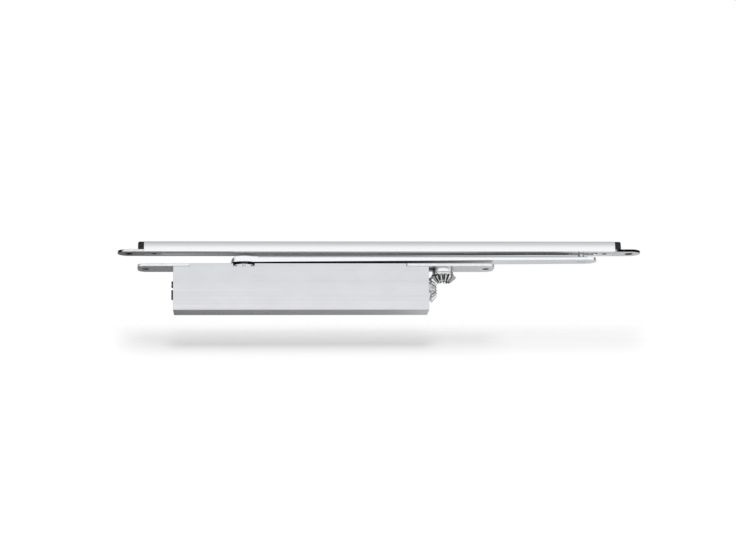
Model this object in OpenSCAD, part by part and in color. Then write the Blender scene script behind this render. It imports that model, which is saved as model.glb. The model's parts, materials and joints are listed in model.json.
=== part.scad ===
// Concealed slide-arm door closer. The closer sits in the top edge of a door leaf,
// and the slider of its arm runs in a rail in the frame head. Millimetres, +Z up.
// The origin lies midway between the two leaf screws, on the seating face under the ears.
// +X runs from the hinge side to the slider, and Y = 0 is the middle of the leaf's thickness.

/* [Leaf fixing] */
// Spacing of the two leaf screws
leaf_screw_span = 355; // [345:1:370]
// Hole for a leaf screw
leaf_hole_d = 5.5; // [4.5:0.1:6.5]
// Countersink of a leaf screw, at the top face
leaf_sink_d = 10.4; // [9:0.1:12]
// Distance from a leaf screw to the tip of its ear
ear_tip = 8.5; // [8:0.5:14]
// Thickness of the ears
ear_t = 3; // [2.8:0.1:4]
// Corner radius of the ears' tips
ear_corner_r = 9; // [4:0.5:14]
// Length of the left ear past the housing
left_ear_out = 37.5; // [34:0.5:46]
// Length of the left ear that lies on the housing
left_ear_lap = 16.5; // [16:0.5:24]
// Length of the right ear that lies on the housing
right_ear_lap = 22.5; // [16:0.5:28]
// Gap between an ear and the end of its seat
ear_seat_gap = 0.6; // [0.2:0.1:1.5]
// Thread of the screws that hold the ears
ear_screw_d = 5; // [4:0.5:6]
// Hexagon socket of those screws, across flats
ear_screw_af = 3; // [2.5:0.1:3.5]
// Length of the screws that hold the ears
ear_screw_l = 9; // [7:0.5:10]
// Distance of an ear screw from the middle plane
ear_screw_y = 9; // [7:0.5:10]

/* [Housing] */
// Length of the housing
housing_l = 265; // [255:1:280]
// Thickness of the housing
housing_w = 32; // [30:0.5:36]
// Height of the housing
housing_h = 49; // [47:0.5:54]
// Bore for the piston and the spring
bore_d = 25; // [24:0.1:26]
// Depth of the bore's axis under the top face
bore_drop = 24.5; // [23:0.1:25.5]
// Distance from the left end to the spindle
spindle_inset = 73; // [72:0.5:80]
// Length of the left end plug
left_plug_l = 15; // [13:0.5:18]
// Length of the right end plug
right_plug_l = 16; // [14:0.5:18]
// Holes for a pin spanner in the right end plug
spanner_hole_d = 3; // [2:0.1:4]
// Depth of the pin spanner holes
spanner_hole_depth = 4; // [3:0.5:5]
// Width of the keyway that stops the spring seat from turning
keyway_w = 4; // [3:0.1:5]
// Depth of the keyway
keyway_depth = 2; // [1.5:0.1:3]

/* [Spindle] */
// Recess for the gland, wider than the housing
gland_recess_d = 38.8; // [37:0.2:42]
// Depth of the recess for the gland
gland_recess_depth = 3; // [2.5:0.1:3.5]
// Flange of the gland
gland_d = 30; // [28:0.5:32]
// Thickness of the gland's flange
gland_t = 2.4; // [2:0.1:2.5]
// Spanner notches in the gland
gland_notches = 8; // [4:1:10]
// Width of a spanner notch
gland_notch_w = 3.2; // [2:0.1:5]
// Depth of a spanner notch from the gland's rim
gland_notch_depth = 1.8; // [1:0.1:2.2]
// Thickness of the gland's flange under a spanner notch
gland_notch_floor = 0.6; // [0.4:0.1:1.2]
// Threaded spigot of the gland
gland_spigot_d = 25; // [24:0.5:26]
// Length of the gland's spigot
gland_spigot_l = 3; // [2.5:0.1:3.4]
// Outer diameter of the upper bearing
upper_bearing_d = 22; // [20:0.5:23]
// Height of the upper bearing
upper_bearing_h = 5; // [4:0.1:5.4]
// Outer diameter of the lower bearing
lower_bearing_d = 16; // [14:0.5:18]
// Height of the lower bearing
lower_bearing_h = 6; // [5:0.1:7]
// Upper journal of the spindle
upper_journal_d = 14; // [13:0.1:15]
// Lower journal of the spindle
lower_journal_d = 10; // [9:0.1:11]
// Square end of the spindle, across flats
square_af = 10; // [9.5:0.1:11]
// Teeth of the pinion
pinion_teeth = 12; // [11:1:13]
// Module of the pinion and of the piston's rack
pinion_module = 1.25; // [1.2:0.01:1.3]
// Height of the pinion's teeth
pinion_h = 15; // [12:0.5:16]

/* [Arm] */
// Distance from the spindle to the slider pin
arm_l = 354; // [330:1:380]
// Width of the arm
arm_w = 22; // [20:0.5:26]
// Diameter of the arm's hub end
arm_hub_d = 28.6; // [27:0.2:30]
// Thickness of the arm at the hub
arm_hub_t = 6; // [5.5:0.1:7]
// Thickness of the arm at the slider
arm_tip_t = 3.5; // [3:0.1:5]
// Length of the arm past the slider pin
arm_tip = 16; // [12:0.5:20]
// Length of the bevel at the hub's end
hub_bevel_l = 5; // [4:0.1:5.5]
// Height of that bevel
hub_bevel_h = 3.5; // [2:0.1:4.5]
// Bevel along the arm's top edges
arm_bevel = 0.8; // [0.4:0.1:1.2]
// Gap between the housing's top and the arm
arm_gap = 2.4; // [2.2:0.1:5]
// Largest swing of the arm in degrees
arm_swing = 150; // [120:1:160]
// Head of the screw that holds the arm
arm_screw_head_d = 15.6; // [15:0.1:17]
// Height of that screw's head
arm_screw_head_h = 2; // [1.6:0.1:2.5]
// Thread of the screw that holds the arm
arm_screw_d = 6; // [5:0.5:6]
// Length of that screw under its head
arm_screw_l = 16; // [12:0.5:18]
// Hexagon socket of that screw, across flats
arm_screw_af = 4.8; // [4:0.1:5]
// Depth of that socket
arm_screw_socket = 3.8; // [3:0.1:4.5]
// Slider pin
pin_d = 6; // [5:0.1:6.5]
// Riveted head of the slider pin
pin_head_d = 9; // [8:0.1:10]
// Thickness of the riveted head
pin_head_t = 1.2; // [0.8:0.1:1.6]

/* [Rail] */
// Length of the rail
rail_l = 492; // [470:1:520]
// Width of the rail
rail_w = 24.4; // [24:0.1:28]
// Height of the rail
rail_h = 11.3; // [10:0.1:13]
// Wall of the rail
rail_wall = 2; // [1.6:0.1:2.2]
// Slot in the rail's underside
slot_w = 9.4; // [9:0.1:11]
// Bevel along the slot's lower edges
slot_bevel = 1.2; // [0.8:0.1:1.4]
// Edge radius along the rail's top
rail_top_r = 3; // [2:0.1:4]
// Radius of the rail's crowned sides, which lean in towards the top
rail_crown_r = 55; // [45:1:120]
// How far under the rail those sides would stand upright
rail_crown_drop = 1.5; // [1:0.1:3]
// Gap between the arm's top and the rail
rail_gap = 4.8; // [4:0.1:8]
// Length of the slider
slider_l = 26; // [22:0.5:32]
// Corner radius of the slider
slider_corner_r = 2; // [1:0.1:3]
// Gap between the slider and the right end piece at rest
slider_rest_gap = 3.5; // [2:0.5:8]
// Length of a rail tab past the rail
tab_l = 28; // [24:0.5:34]
// Distance from a frame screw to the tip of its tab
tab_tip = 12; // [8:0.5:14]
// Width of a rail tab
tab_w = 23.4; // [20:0.1:23.4]
// Thickness of a rail tab
tab_t = 2.6; // [2.2:0.1:3.2]
// Hole for a frame screw
frame_hole_d = 5.5; // [4.5:0.1:6.5]
// Length of an end piece inside the rail
end_insert_l = 18; // [16:0.5:24]
// How far an end piece's foot stands above its tab
foot_rise = 2.2; // [1.6:0.1:2.6]
// Distance from the rail's end to the clamp screw
clamp_screw_inset = 10; // [9.5:0.5:12]
// Thread of the clamp screws
clamp_screw_d = 5; // [4:0.5:5]
// Hexagon socket of the clamp screws, across corners and in depth
clamp_socket = 3; // [2:0.1:3.2]
// Length of an end cap past the rail
cap_l = 6.2; // [5:0.1:9]
// Length of an end cap's plug inside the rail
cap_plug_l = 5; // [3:0.5:6]
// Radius of an end cap's outer top corner
cap_corner_r = 2; // [1:0.1:3]

/* [Force adjuster] */
// Teeth of each bevel gear
gear_teeth = 16; // [15:1:18]
// Module of the bevel gears at the large end
gear_module = 1.62; // [1.5:0.01:1.65]
// Face width of the bevel gears
gear_face = 8; // [7:0.1:8.2]
// How far the teeth stand out in front of a bevel gear's blank
gear_recess = 0.8; // [0.6:0.1:1]
// Thickness of the rim behind the bevel teeth
gear_rim_t = 0.7; // [0.6:0.1:1.2]
// Hub of the upper bevel gear
gear_hub_d = 22; // [19:0.5:22]
// Height of the hub's groove above the teeth
gear_groove_up = 1.6; // [1:0.1:2.5]
// Width of the groove round the hub
gear_groove_h = 0.5; // [0.3:0.1:0.8]
// Depth of that groove
gear_groove_depth = 1; // [0.5:0.1:1.5]
// Gap between the housing and the lower bevel gear
gear_gap = 0.6; // [0.5:0.1:2]
// Stem of the upper bevel gear
stem_d = 12; // [10:0.5:13]
// Hexagon socket for the adjusting key, across flats
socket_af = 5; // [4:0.5:6]
// Depth of the hexagon socket
socket_depth = 5; // [4:0.5:6]
// Journal of the adjusting screw in the plug
adjuster_journal_d = 9; // [8.5:0.1:10]
// Gear seat at the end of the adjusting screw
gear_seat_d = 8; // [7:0.1:8]
// Width across the two flats of the gear seat
gear_seat_af = 6.6; // [6:0.1:6.8]
// Thread of the adjusting screw
thread_d = 10; // [9:0.5:10.5]
// Length of that thread
thread_l = 56; // [50:1:62]
// Thrust collar of the adjusting screw
collar_d = 17; // [15:0.5:19]
// Thickness of the thrust collar
collar_t = 3; // [2:0.1:4]
// Thickness of the thrust washer
thrust_t = 1.5; // [1:0.1:2]
// Length of the spring seat
seat_l = 12; // [10:0.5:14]
// Room between the spring seat and the thrust collar at rest
seat_room = 12; // [10:0.5:14]

/* [Piston and spring] */
// Length of each piston head
head_l = 12; // [10:0.5:14]
// Wire of the closing spring
wire_d = 4; // [3.5:0.1:4.2]
// Outer diameter of the closing spring
spring_d = 23; // [22:0.1:23.4]
// Turns of the closing spring
spring_turns = 16; // [14:1:18]
// Length of the spigots that centre the closing spring
spigot_l = 4; // [3:0.5:6]

/* [Valves] */
// Head of the closing speed valve
closing_valve_d = 10.4; // [9:0.1:11]
// Height of the closing speed valve above the bore's axis
closing_valve_z = -6.1; // [-6.5:0.1:-5.5]
// Head of the latch speed valve
latch_valve_d = 7; // [6:0.1:7.4]
// Height of the latch speed valve above the bore's axis
latch_valve_z = 4.8; // [4.5:0.1:6]
// How far the valve heads stand out of the end plug
valve_proud = 2.2; // [1:0.1:4]
// Length of a valve head inside the end plug
valve_head_l = 3; // [2:0.5:4]
// Width and depth of the valves' driver slots
valve_slot = 1.4; // [1:0.1:1.8]
// Length of a valve's shank
valve_shank_l = 8; // [6:0.5:9]
// Cross section of the valves' seals
valve_seal_d = 1.5; // [1.2:0.1:1.5]

/* [Clearances] */
// Radial clearance of shafts, seats and threads
fit = 0.05; // [0.02:0.01:0.08]
// Clearance of loose sliding pieces
slack = 0.3; // [0.2:0.05:0.4]
// Clearance behind each tooth flank
flank_gap = 0.07; // [0.05:0.01:0.12]

/* [Hidden] */
$fn = 64;
eps = 0.5;

// Levels
top_z = ear_t;
bore_r = bore_d / 2;
bore_z = top_z - bore_drop;
bore_bottom = bore_z - bore_r;
recess_z = top_z - gland_recess_depth;
arm_z0 = top_z + arm_gap;
arm_z1 = arm_z0 + arm_hub_t;
rail_z0 = arm_z1 + rail_gap;
rail_z1 = rail_z0 + rail_h;
lip_z = rail_z0 + rail_wall;
ceiling_z = rail_z1 - rail_wall;
cavity_w = rail_w - 2 * rail_wall;

// Places along the closer
leaf_screw_x = leaf_screw_span / 2;
ear_tip_x = leaf_screw_x + ear_tip;
housing_x0 = -ear_tip_x + left_ear_out;
housing_x1 = housing_x0 + housing_l;
left_ear_x1 = housing_x0 + left_ear_lap;
right_ear_x0 = housing_x1 - right_ear_lap;
spindle_x = housing_x0 + spindle_inset;
pin_x = spindle_x + arm_l;
rail_x1 = pin_x + slider_l / 2 + slider_rest_gap + end_insert_l;
rail_x0 = rail_x1 - rail_l;

// Spindle stack, from the gland down
spigot_z0 = recess_z - gland_spigot_l;
upper_bearing_z0 = spigot_z0 - upper_bearing_h;
lower_pocket_z = bore_bottom - lower_bearing_h;
seal_d = (upper_journal_d + gland_spigot_d) / 2;
seal_h = 0.7 * gland_spigot_l;

// Pinion and rack, with stub teeth
pressure_angle = 20;
pinion_r = pinion_module * pinion_teeth / 2;
pinion_addendum = 0.8 * pinion_module;
pinion_dedendum = 1.1 * pinion_module;
pinion_tip_r = pinion_r + pinion_addendum;
pinion_root_r = pinion_r - pinion_dedendum;
rack_pitch = PI * pinion_module;
rack_tip_y = pinion_r - pinion_addendum;
rack_root_y = pinion_r + pinion_dedendum;
piston_travel = pinion_r * arm_swing * PI / 180;
window_x0 = spindle_x - pinion_tip_r - piston_travel - 2 * slack;
window_x1 = spindle_x + pinion_tip_r + 2 * slack;
piston_x0 = window_x0 - head_l;
piston_x1 = window_x1 + head_l;
piston_r = bore_r - fit;

// Force adjuster
right_plug_x0 = housing_x1 - right_plug_l;
collar_x1 = right_plug_x0 - thrust_t;
collar_x0 = collar_x1 - collar_t;
seat_x1 = collar_x0 - seat_room;
seat_x0 = seat_x1 - seat_l;
cone = 45;
gear_r = gear_module * gear_teeth / 2;
gear_cone_l = gear_r / sin(cone);
gear_small = (gear_cone_l - gear_face) / gear_cone_l;
gear_addendum = gear_module;
gear_dedendum = 1.25 * gear_module;
gear_tooth_sink = 0.4;
gear_root_r = gear_r - gear_dedendum * cos(cone);
gear_root_h = gear_r + gear_dedendum * sin(cone);
gear_front_h = gear_small * gear_root_h + gear_recess;
gear_back_h = gear_root_h + gear_rim_t;
bevel_x = housing_x1 + gear_gap + gear_back_h;
gear_back_z = bore_z + gear_back_h;
clip_t = 0.8;
clip_wall = 2;
clip_grip = 0.7;
stem_clip_z = top_z - 1.6 * clip_t;

// Closing spring
spring_x0 = piston_x1 + fit;
spring_x1 = seat_x0 - fit;
wire_r = wire_d / 2;
spring_r = (spring_d - wire_d) / 2;
end_pitch = wire_d + 0.6;
rings_per_turn = 8;
wire_sides = 6;
spigot_d = 2 * (spring_r - wire_r) * cos(180 / rings_per_turn) - 2 * slack;

// Seals in the bore
seal_ring_d = 1.8;
seal_groove_w = seal_ring_d + 2 * slack;
seal_groove_r = bore_r - seal_ring_d - 3 * fit;
valve_step_x = housing_x0 + valve_head_l + valve_seal_d + 2 * fit;
left_seal_x = housing_x0 + 0.7 * left_plug_l;
right_seal_x = housing_x1 - 0.6 * right_plug_l;
piston_seal_x = piston_x0 + 0.4 * head_l;

// Mounts of the rail
frame_hole_inset = tab_l - tab_tip;
foot_z1 = rail_z0 + tab_t + foot_rise;

// Involute of an angle in degrees
function involute(a) = tan(a) - a * PI / 180;

// Half thickness of an involute tooth at radius rho, for pitch radius r and half thickness s there
function tooth_half(rho, r, s) =
    let (angle = acos(min(1, r * cos(pressure_angle) / rho)))
    rho * (s / r + involute(pressure_angle) - involute(angle));

// A cylinder along +X from x0 to x1, on the line through y = 0 at height z
module rod(x0, x1, r, z = bore_z) {
    translate([x0, 0, z])
        rotate([0, 90, 0])
            cylinder(h = x1 - x0, r = r);
}

// A block from one corner to the opposite one
module block(low, high) {
    translate(low)
        cube(high - low);
}

// A round seal about the X direction
module ring_x(x, r, d, z = bore_z) {
    translate([x, 0, z])
        rotate([0, 90, 0])
            rotate_extrude()
                translate([r, 0])
                    circle(d = d, $fn = 32);
}

// A rectangle with round corners, centred on the origin
module round_rect(w, h, r) {
    square([w - 2 * r, h], center = true);
    square([w, h - 2 * r], center = true);
    for (sx = [-1, 1], sy = [-1, 1])
        translate([sx * (w / 2 - r), sy * (h / 2 - r)])
            circle(r = r, $fn = 32);
}

// A hexagon socket going down from z
module hex_socket(af, z, depth) {
    translate([0, 0, z - depth])
        cylinder(h = depth + eps, d = af / cos(30), $fn = 6);
}

// An open retaining ring about +Z, from z upwards
module retaining_ring(z, r0, r1, t) {
    translate([0, 0, z])
        difference() {
            cylinder(h = t, r = r1);
            translate([0, 0, -eps])
                cylinder(h = t + 2 * eps, r = r0);
            translate([0, -r0 / 2, -eps])
                cube([2 * r1, r0, t + 2 * eps]);
        }
}

// Countersunk hole through a plate, wide end at z1
module countersunk_hole(x, y, z0, z1, hole_d, sink_d) {
    sink_h = (sink_d - hole_d) / 2;
    translate([x, y, z0 - eps])
        cylinder(h = z1 - z0 + 2 * eps, d = hole_d);
    translate([x, y, z1 - sink_h])
        cylinder(h = sink_h, d1 = hole_d, d2 = sink_d);
    translate([x, y, z1])
        cylinder(h = eps, d = sink_d);
}

// Places of the screws that hold the ears
ear_screw_x = [(housing_x0 + left_ear_x1) / 2, (right_ear_x0 + housing_x1) / 2];
ear_screw_sink_d = 2 * ear_screw_d - 0.2;

module ear_screw_places() {
    for (x = ear_screw_x, side = [-1, 1])
        translate([x, side * ear_screw_y, 0])
            children();
}

module ear_outline(x0, x1) {
    // The tip has round corners, and the other end is square
    reach = x1 > 0 ? x1 : x0;
    inner = x1 > 0 ? x0 : x1;
    side = x1 > 0 ? 1 : -1;
    translate([(reach + inner - side * ear_corner_r) / 2, 0])
        square([abs(reach - inner) - ear_corner_r, housing_w], center = true);
    translate([reach - side * ear_corner_r, 0])
        square([2 * ear_corner_r, housing_w - 2 * ear_corner_r], center = true);
    for (s = [-1, 1])
        translate([reach - side * ear_corner_r, s * (housing_w / 2 - ear_corner_r)])
            circle(r = ear_corner_r);
}

module ear_plate(x0, x1, hole_x, screw_x) {
    difference() {
        linear_extrude(ear_t)
            ear_outline(x0, x1);
        countersunk_hole(hole_x, 0, 0, ear_t, leaf_hole_d, leaf_sink_d);
        for (s = [-1, 1])
            countersunk_hole(
                screw_x, s * ear_screw_y, 0, ear_t, ear_screw_d + 2 * fit, ear_screw_sink_d + 2 * fit
            );
    }
}

module housing() {
    color("gainsboro")
        difference() {
            block([housing_x0, -housing_w / 2, top_z - housing_h], [housing_x1, housing_w / 2, top_z]);
            rod(housing_x0 - eps, housing_x1 + eps, bore_r);
            // Seats of the two ears
            block([housing_x0 - eps, -housing_w, 0], [left_ear_x1 + ear_seat_gap, housing_w, top_z + eps]);
            block([right_ear_x0 - ear_seat_gap, -housing_w, 0], [housing_x1 + eps, housing_w, top_z + eps]);
            ear_screw_places()
                translate([0, 0, top_z - ear_screw_l - slack])
                    cylinder(h = ear_screw_l, r = ear_screw_d / 2 + fit);
            // Spindle: recess, gland thread, bearing seats and the passage for the pinion
            translate([spindle_x, 0, 0]) {
                translate([0, 0, recess_z])
                    cylinder(h = gland_recess_depth + eps, d = gland_recess_d);
                translate([0, 0, spigot_z0])
                    cylinder(h = gland_spigot_l + eps, r = gland_spigot_d / 2 + fit);
                translate([0, 0, upper_bearing_z0])
                    cylinder(h = upper_bearing_h + eps, r = upper_bearing_d / 2 + fit);
                translate([0, 0, bore_z])
                    cylinder(h = -bore_z, r = pinion_tip_r + slack);
                translate([0, 0, lower_pocket_z])
                    cylinder(h = bore_z - lower_pocket_z, r = lower_bearing_d / 2 + fit);
            }
            // Keyway of the spring seat, along the bottom of the bore
            block(
                [seat_x0 - thread_l, -keyway_w / 2, bore_bottom - keyway_depth],
                [right_plug_x0, keyway_w / 2, bore_z]
            );
        }
}

module left_ear() {
    color("lightgray")
        ear_plate(-ear_tip_x, left_ear_x1, -leaf_screw_x, ear_screw_x[0]);
}

module right_ear() {
    color("lightgray")
        difference() {
            ear_plate(right_ear_x0, ear_tip_x, leaf_screw_x, ear_screw_x[1]);
            // Bearing of the adjuster's stem, and the recess for its retaining ring
            translate([bevel_x, 0, -eps])
                cylinder(h = ear_t + 2 * eps, r = stem_d / 2 + fit);
            translate([bevel_x, 0, stem_clip_z - fit])
                cylinder(h = ear_t, r = stem_d / 2 + clip_wall + slack);
        }
}

module ear_screws() {
    head_h = (ear_screw_sink_d - ear_screw_d) / 2;
    color("silver")
        ear_screw_places()
            difference() {
                union() {
                    translate([0, 0, top_z - ear_screw_l])
                        cylinder(h = ear_screw_l, d = ear_screw_d);
                    translate([0, 0, top_z - head_h])
                        cylinder(h = head_h, d1 = ear_screw_d, d2 = ear_screw_sink_d);
                }
                hex_socket(ear_screw_af, top_z, ear_screw_d / 2);
            }
}

module spindle_gland() {
    color("silver")
        translate([spindle_x, 0, 0])
            difference() {
                union() {
                    translate([0, 0, recess_z])
                        cylinder(h = gland_t, d = gland_d);
                    translate([0, 0, spigot_z0])
                        cylinder(h = gland_spigot_l + eps, d = gland_spigot_d);
                }
                translate([0, 0, spigot_z0 - eps])
                    cylinder(h = gland_spigot_l + gland_t + 2 * eps, r = upper_journal_d / 2 + slack);
                // Seat of the lip seal
                translate([0, 0, spigot_z0 - eps])
                    cylinder(h = seal_h + eps, r = seal_d / 2 + fit);
                // Spanner notches
                translate([0, 0, recess_z + gland_notch_floor])
                    for (k = [0 : gland_notches - 1])
                        rotate(k * 360 / gland_notches)
                            translate([gland_d / 2 - gland_notch_depth, -gland_notch_w / 2, 0])
                                cube([gland_d, gland_notch_w, gland_t]);
            }
}

module spindle_seal() {
    color("dimgray")
        translate([spindle_x, 0, spigot_z0])
            difference() {
                cylinder(h = seal_h - fit, d = seal_d);
                translate([0, 0, -eps])
                    cylinder(h = seal_h + 2 * eps, r = upper_journal_d / 2 + fit);
            }
}

module bearing(z0, h, outer_d, inner_d) {
    difference() {
        translate([spindle_x, 0, z0])
            cylinder(h = h, d = outer_d);
        translate([spindle_x, 0, z0 - eps])
            cylinder(h = h + 2 * eps, r = inner_d / 2 + fit);
    }
}

module upper_bearing() {
    color("goldenrod")
        bearing(upper_bearing_z0, upper_bearing_h, upper_bearing_d, upper_journal_d);
}

module lower_bearing() {
    color("goldenrod")
        bearing(lower_pocket_z, lower_bearing_h - 2 * slack, lower_bearing_d, lower_journal_d);
}

module seal_groove(x) {
    difference() {
        rod(x - seal_groove_w / 2, x + seal_groove_w / 2, bore_r + eps);
        rod(x - seal_groove_w, x + seal_groove_w, seal_groove_r);
    }
}

module bore_seal(x) {
    color("dimgray")
        ring_x(x, bore_r - seal_ring_d / 2 - fit, seal_ring_d);
}

// Stepped bore of a valve in the left end plug
module valve_bore(z, head_d) {
    rod(housing_x0 - eps, valve_step_x, head_d / 2 + fit, bore_z + z);
    rod(housing_x0, housing_x0 + left_plug_l + eps, head_d / 4 + fit, bore_z + z);
}

module left_end_plug() {
    color("darkgray")
        difference() {
            rod(housing_x0, housing_x0 + left_plug_l, bore_r - fit);
            seal_groove(left_seal_x);
            valve_bore(closing_valve_z, closing_valve_d);
            valve_bore(latch_valve_z, latch_valve_d);
        }
}

module left_plug_seal() {
    bore_seal(left_seal_x);
}

module valve_seals() {
    ring_x0 = (housing_x0 + valve_head_l + valve_step_x) / 2;
    for (v = [[closing_valve_z, closing_valve_d], [latch_valve_z, latch_valve_d]])
        color("dimgray")
            ring_x(ring_x0, v[1] / 4 + valve_seal_d / 2 + fit, valve_seal_d, bore_z + v[0]);
}

// A valve: head with a driver slot, shank and needle tip
module valve(z, head_d) {
    x0 = housing_x0 - valve_proud;
    head_x1 = housing_x0 + valve_head_l;
    shank_x1 = head_x1 + valve_shank_l;
    difference() {
        union() {
            rod(x0, head_x1, head_d / 2, bore_z + z);
            rod(head_x1 - eps, shank_x1, head_d / 4, bore_z + z);
            translate([shank_x1, 0, bore_z + z])
                rotate([0, 90, 0])
                    cylinder(h = valve_seal_d, r1 = head_d / 4, r2 = head_d / 12);
        }
        translate([x0, 0, bore_z + z])
            cube([2 * valve_slot, 2 * head_d, valve_slot], center = true);
    }
}

module closing_speed_valve() {
    color("#333333")
        valve(closing_valve_z, closing_valve_d);
}

module latch_speed_valve() {
    color("#333333")
        valve(latch_valve_z, latch_valve_d);
}

module right_end_plug() {
    pin_hole_y = (bore_r + adjuster_journal_d / 2) / 2;
    color("darkgray")
        difference() {
            rod(right_plug_x0, housing_x1, bore_r - fit);
            rod(right_plug_x0 - eps, housing_x1 + eps, adjuster_journal_d / 2 + fit);
            seal_groove(right_seal_x);
            // Groove of the journal's seal
            rod(
                right_seal_x - seal_groove_w / 2,
                right_seal_x + seal_groove_w / 2,
                adjuster_journal_d / 2 + seal_ring_d + 3 * fit
            );
            // Two holes for a pin spanner
            for (s = [-1, 1])
                translate([0, s * pin_hole_y, 0])
                    rod(housing_x1 - spanner_hole_depth, housing_x1 + eps, spanner_hole_d / 2);
        }
}

module right_plug_seal() {
    bore_seal(right_seal_x);
}

module adjuster_seal() {
    color("dimgray")
        ring_x(right_seal_x, adjuster_journal_d / 2 + seal_ring_d / 2 + 2 * fit, seal_ring_d);
}

module thrust_washer() {
    color("goldenrod")
        difference() {
            rod(collar_x1, right_plug_x0, collar_d / 2 + slack);
            rod(collar_x1 - eps, right_plug_x0 + eps, adjuster_journal_d / 2 + fit);
        }
}

// Distance along the spring at turn u, with a closed turn at each end
function spring_way(u) =
    let (way = spring_x1 - spring_x0 - wire_d)
    let (open_pitch = (way - 2 * end_pitch) / (spring_turns - 2))
    u < 1 ? u * end_pitch
    : u > spring_turns - 1 ? way - (spring_turns - u) * end_pitch
    : end_pitch + (u - 1) * open_pitch;

function spring_point(u, r, along) = [
    spring_x0 + wire_r + spring_way(u) + along,
    r * cos(360 * u),
    bore_z + r * sin(360 * u)
];

module closing_spring() {
    rings = spring_turns * rings_per_turn;
    points = [
        for (i = [0 : rings], k = [0 : wire_sides - 1])
            let (a = k * 360 / wire_sides)
            spring_point(i / rings_per_turn, spring_r + wire_r * cos(a), wire_r * sin(a))
    ];
    sides = [
        for (i = [0 : rings - 1], k = [0 : wire_sides - 1])
            let (a = i * wire_sides + k)
            let (b = i * wire_sides + (k + 1) % wire_sides)
            each [[a, b, a + wire_sides], [b, b + wire_sides, a + wire_sides]]
    ];
    least_gap = min([
        for (i = [0 : rings - rings_per_turn])
            let (u = i / rings_per_turn)
            norm(spring_point(u + 1, spring_r, 0) - spring_point(u, spring_r, 0)) - wire_d
    ]);
    echo(least_gap_between_turns = least_gap);
    start = [for (k = [0 : wire_sides - 1]) wire_sides - 1 - k];
    finish = [for (k = [0 : wire_sides - 1]) rings * wire_sides + k];
    color("dimgray")
        polyhedron(points = points, faces = concat([start], sides, [finish]));
}

module pinion_outline() {
    s = PI * pinion_module / 4 - flank_gap;
    levels = [
        for (rho = [pinion_root_r, pinion_r * cos(pressure_angle), pinion_r, pinion_tip_r])
            [rho, tooth_half(rho, pinion_r, s) / rho * 180 / PI]
    ];
    polygon([
        for (k = [0 : pinion_teeth - 1])
            let (middle = -90 + k * 360 / pinion_teeth)
            each concat(
                [for (v = levels) v[0] * [cos(middle - v[1]), sin(middle - v[1])]],
                [for (i = [3 : -1 : 0]) let (v = levels[i]) v[0] * [cos(middle + v[1]), sin(middle + v[1])]]
            )
    ]);
}

module spindle() {
    square_z1 = arm_z1 - arm_screw_head_h - slack;
    color("silver")
        translate([spindle_x, 0, 0])
            difference() {
                union() {
                    translate([0, 0, bore_z - pinion_h / 2])
                        linear_extrude(pinion_h)
                            pinion_outline();
                    translate([0, 0, lower_pocket_z + slack])
                        cylinder(h = bore_z - lower_pocket_z, d = lower_journal_d);
                    translate([0, 0, bore_z])
                        cylinder(h = upper_bearing_z0 - slack - bore_z, r = pinion_root_r);
                    translate([0, 0, upper_bearing_z0 - slack])
                        cylinder(h = arm_z0 - upper_bearing_z0 + slack, d = upper_journal_d);
                    intersection() {
                        translate([0, 0, square_z1 / 2])
                            cube([square_af, square_af, square_z1], center = true);
                        cylinder(h = square_z1, d = upper_journal_d);
                    }
                }
                translate([0, 0, arm_z1 - arm_screw_head_h - arm_screw_l - slack])
                    cylinder(h = arm_screw_l + arm_hub_t, r = arm_screw_d / 2 + fit);
            }
}

module arm_outline(inset = 0) {
    tip_x = arm_l + arm_tip - arm_w / 2;
    circle(r = arm_hub_d / 2 - inset);
    translate([0, -arm_w / 2 + inset])
        square([tip_x, arm_w - 2 * inset]);
    translate([tip_x, 0])
        circle(r = arm_w / 2 - inset);
}

// Side of the arm: level on top, bevelled at the hub's end and thinner towards the slider
module arm_side() {
    hub_x = arm_hub_d / 2;
    end_x = arm_l + arm_tip;
    polygon([
        [-hub_x - eps, arm_z0],
        [hub_x, arm_z0],
        [end_x + eps, arm_z1 - arm_tip_t],
        [end_x + eps, arm_z1],
        [-hub_x + hub_bevel_l, arm_z1],
        [-hub_x, arm_z1 - hub_bevel_h],
        [-hub_x - eps, arm_z1 - hub_bevel_h]
    ]);
}

// Cuts the two long top edges of the arm at 45 degrees
module arm_bevels() {
    bevel_l = arm_l + arm_tip - arm_w / 2 - arm_hub_d / 2;
    for (s = [-1, 1])
        translate([arm_hub_d / 2, s * arm_w / 2, arm_z1])
            rotate([45, 0, 0])
                translate([0, -arm_bevel / sqrt(2), -arm_bevel / sqrt(2)])
                    cube([bevel_l, sqrt(2) * arm_bevel, sqrt(2) * arm_bevel]);
}

module arm() {
    color("whitesmoke")
        translate([spindle_x, 0, 0])
            difference() {
                intersection() {
                    translate([0, 0, arm_z0])
                        linear_extrude(arm_hub_t)
                            arm_outline();
                    translate([0, housing_w, 0])
                        rotate([90, 0, 0])
                            linear_extrude(2 * housing_w)
                                arm_side();
                }
                arm_bevels();
                // Square seat of the spindle and the recess for the screw's head
                translate([0, 0, arm_z0 + arm_hub_t / 2])
                    cube([square_af + 2 * fit, square_af + 2 * fit, arm_hub_t + 2 * eps], center = true);
                translate([0, 0, arm_z1 - arm_screw_head_h])
                    cylinder(h = arm_screw_head_h + eps, r = arm_screw_head_d / 2 + fit);
                // Slider pin and its riveted head
                translate([arm_l, 0, arm_z0 - eps])
                    cylinder(h = arm_hub_t + 2 * eps, r = pin_d / 2 + fit);
                translate([arm_l, 0, arm_z0 - eps])
                    cylinder(h = pin_head_z1 - arm_z0 + eps, r = pin_head_d / 2 + fit);
            }
}

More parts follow.
